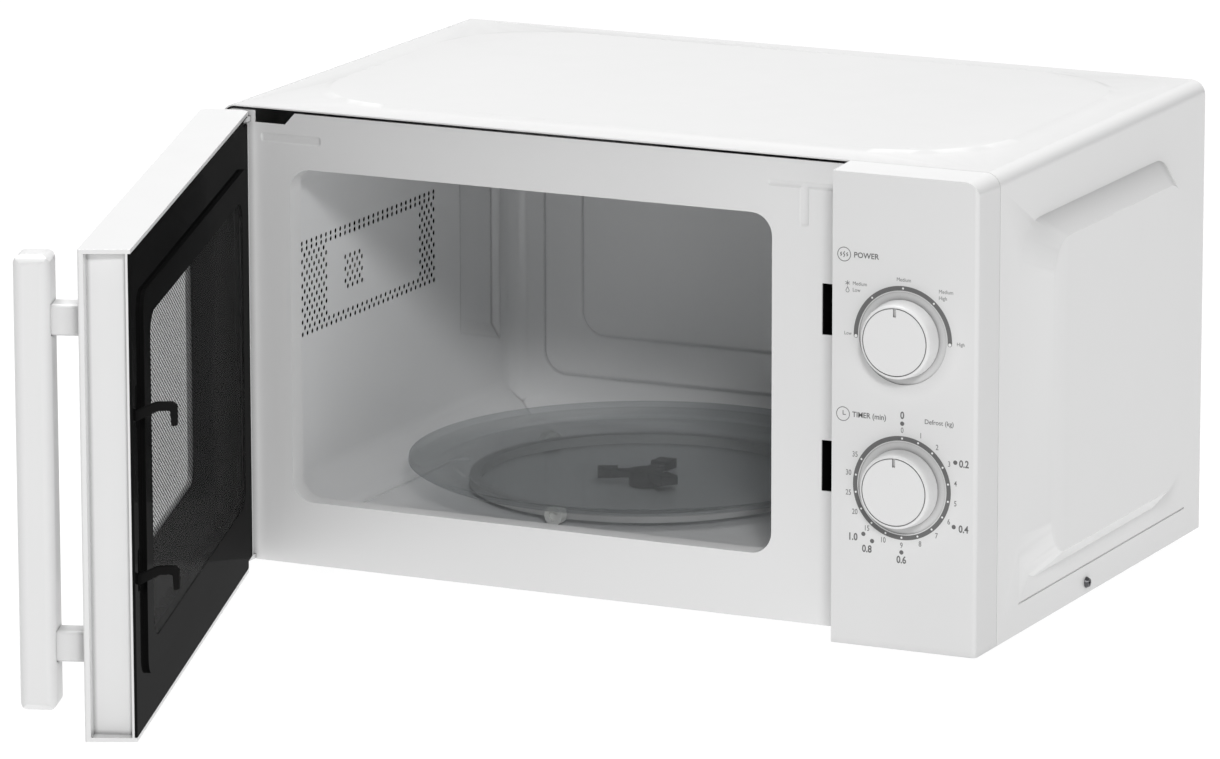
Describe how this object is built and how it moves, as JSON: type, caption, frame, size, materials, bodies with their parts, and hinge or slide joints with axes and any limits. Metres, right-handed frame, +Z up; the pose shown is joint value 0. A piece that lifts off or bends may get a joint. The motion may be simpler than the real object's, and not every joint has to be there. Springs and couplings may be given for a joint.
{
  "type": "microwave oven",
  "caption": "Countertop microwave oven with side-hinged door, bar handle, two turning dials and a glass turntable in the cavity.",
  "frame": {"origin": "middle of the cabinet's footprint on the surface the feet stand on", "axes": "+Z up, door towards -Y, control panel towards +X"},
  "size_m": [0.471, 0.6442, 0.2585],
  "materials": {
    "aluminium_fins": "aluminium sheet",
    "antenna_metal": "metal cap on ceramic",
    "black_gloss": "glossy black moulded plastic",
    "black_matte": "black moulded plastic",
    "black_paint": "black painted sheet",
    "board_green": "printed circuit board",
    "cavity_enamel": "light grey cavity enamel",
    "chrome_shaft": "plated steel",
    "copper": "enamelled copper wire",
    "core_steel": "laminated iron, varnished",
    "dark_screw": "blackened steel",
    "ferrite": "ferrite ring",
    "film": "clear plastic film",
    "fuse_white": "ceramic tube",
    "grey_plastic": "dark grey moulded plastic",
    "grey_white_plastic": "light grey-white moulded plastic",
    "lamp_glass": "clear bulb",
    "mica": "mica sheet",
    "nylon_grey": "grey nylon",
    "nylon_white": "white nylon",
    "rubber_black": "moulded rubber",
    "steel": "plain steel",
    "switch_red": "moulded plastic button",
    "tray_glass": "clear pressed glass",
    "white_enamel": "smooth white powder coat",
    "white_plastic": "white moulded plastic, satin",
    "window_glass": "clear pane",
    "zinc_sheet": "zinc-plated sheet steel"
  },
  "bodies": {
    "cabinet": {"wrapper": "white_enamel", "front_plate": "white_enamel", "cavity": "cavity_enamel", "vent_screen": "cavity_enamel", "lamp_duct": "black_matte", "base_plate": "zinc_sheet", "back_panel": "zinc_sheet", "feet": "rubber_black", "cover_screws": "dark_screw", "control_panel": "grey_white_plastic", "timer_unit": "grey_white_plastic", "timer_bell": "steel", "power_selector": "grey_plastic", "waveguide": "zinc_sheet", "waveguide_cover": "mica", "magnetron": "aluminium_fins", "magnetron_magnets": "ferrite", "magnetron_antenna": "antenna_metal", "transformer_core": "core_steel", "transformer_windings": "copper", "capacitor": "aluminium_fins", "diode": "black_matte", "filter_board": "board_green", "line_fuse": "fuse_white", "fan_housing": "grey_plastic", "fan_motor": "steel", "turntable_motor": "steel", "cavity_lamp": "lamp_glass", "thermal_cutouts": "black_matte", "latch_board": "black_matte", "switches": "black_matte", "upper_hinge": "white_enamel", "lower_hinge": "white_enamel", "cord_gland": "rubber_black"},
    "door": {"door_frame": "white_plastic", "door_glass": "window_glass", "door_liner": "black_matte", "door_plate": "black_paint", "mesh_screen": "black_paint", "choke_cover": "black_gloss", "window_film": "film", "handle_bar": "white_plastic", "handle_posts": "grey_white_plastic", "handle_screws": "steel", "latch_spring": "steel"},
    "latch": {"latch_hooks": "black_matte"},
    "power_dial": {"power_knob": "white_plastic", "power_shaft": "chrome_shaft"},
    "timer_dial": {"timer_knob": "white_plastic", "timer_shaft": "chrome_shaft"},
    "turn_coupler": {"coupler": "grey_plastic"},
    "tray": {"glass_tray": "tray_glass"},
    "roller": {"roller_ring": "nylon_grey"},
    "wheel_a": {"wheel_a": "nylon_white"},
    "wheel_b": {"wheel_b": "nylon_white"},
    "wheel_c": {"wheel_c": "nylon_white"},
    "fan": {"fan_blade": "grey_plastic"},
    "switch_a": {"plunger_a": "switch_red"},
    "switch_b": {"plunger_b": "switch_red"},
    "switch_c": {"plunger_c": "switch_red"}
  },
  "joints": [
    {"name": "door_hinge", "type": "hinge", "parent": "cabinet", "child": "door", "pos_m": [-0.2151, -0.1534, 0.128], "axis": [0, 0, 1], "range_deg": [-22, 71]},
    {"name": "latch_slide", "type": "slide", "parent": "door", "child": "latch", "axis": [0, 0, 1], "range_m": [0, 0.005], "stiffness_N_per_m": 300, "springref_m": -0.004, "deforming": ["latch_spring"]},
    {"name": "power_turn", "type": "hinge", "parent": "cabinet", "child": "power_dial", "pos_m": [0.1838, -0.17, 0.1726], "axis": [0, 1, 0], "range_deg": [-92, 92]},
    {"name": "timer_turn", "type": "hinge", "parent": "cabinet", "child": "timer_dial", "pos_m": [0.1838, -0.17, 0.0939], "axis": [0, 1, 0], "range_deg": [0, 300]},
    {"name": "coupler_spin", "type": "hinge", "parent": "cabinet", "child": "turn_coupler", "pos_m": [-0.0442, 0.003, 0.034], "axis": [0, 0, 1], "continuous": true},
    {"name": "tray_lift", "type": "slide", "parent": "turn_coupler", "child": "tray", "axis": [0, 0, 1], "range_m": [0, 0.02]},
    {"name": "ring_spin", "type": "hinge", "parent": "cabinet", "child": "roller", "pos_m": [-0.0442, 0.003, 0.034], "axis": [0, 0, 1], "continuous": true},
    {"name": "wheel_a_spin", "type": "hinge", "parent": "roller", "child": "wheel_a", "pos_m": [-0.04949, -0.09786, 0.0394], "axis": [-0.0523, -0.9986, 0], "continuous": true},
    {"name": "wheel_b_spin", "type": "hinge", "parent": "roller", "child": "wheel_b", "pos_m": [0.04579, 0.04885, 0.0394], "axis": [0.891, 0.454, 0], "continuous": true},
    {"name": "wheel_c_spin", "type": "hinge", "parent": "roller", "child": "wheel_c", "pos_m": [-0.12891, 0.05801, 0.0394], "axis": [-0.8387, 0.5446, 0], "continuous": true},
    {"name": "fan_spin", "type": "hinge", "parent": "cabinet", "child": "fan", "pos_m": [0.165, 0.114, 0.176], "axis": [0, 1, 0], "continuous": true},
    {"name": "switch_a_press", "type": "slide", "parent": "cabinet", "child": "switch_a", "axis": [0, 1, 0], "range_m": [0, 0.0015], "stiffness_N_per_m": 800, "springref_m": -0.0005},
    {"name": "switch_b_press", "type": "slide", "parent": "cabinet", "child": "switch_b", "axis": [0, 1, 0], "range_m": [0, 0.0015], "stiffness_N_per_m": 800, "springref_m": -0.0005},
    {"name": "switch_c_press", "type": "slide", "parent": "cabinet", "child": "switch_c", "axis": [0, 1, 0], "range_m": [0, 0.0015], "stiffness_N_per_m": 800, "springref_m": -0.0005}
  ],
  "couplings": [
    {"joint": "ring_spin", "follows": "coupler_spin", "ratio": 0.5},
    {"joint": "wheel_a_spin", "follows": "coupler_spin", "ratio": -9.619},
    {"joint": "wheel_b_spin", "follows": "coupler_spin", "ratio": -9.619},
    {"joint": "wheel_c_spin", "follows": "coupler_spin", "ratio": -9.619}
  ]
}
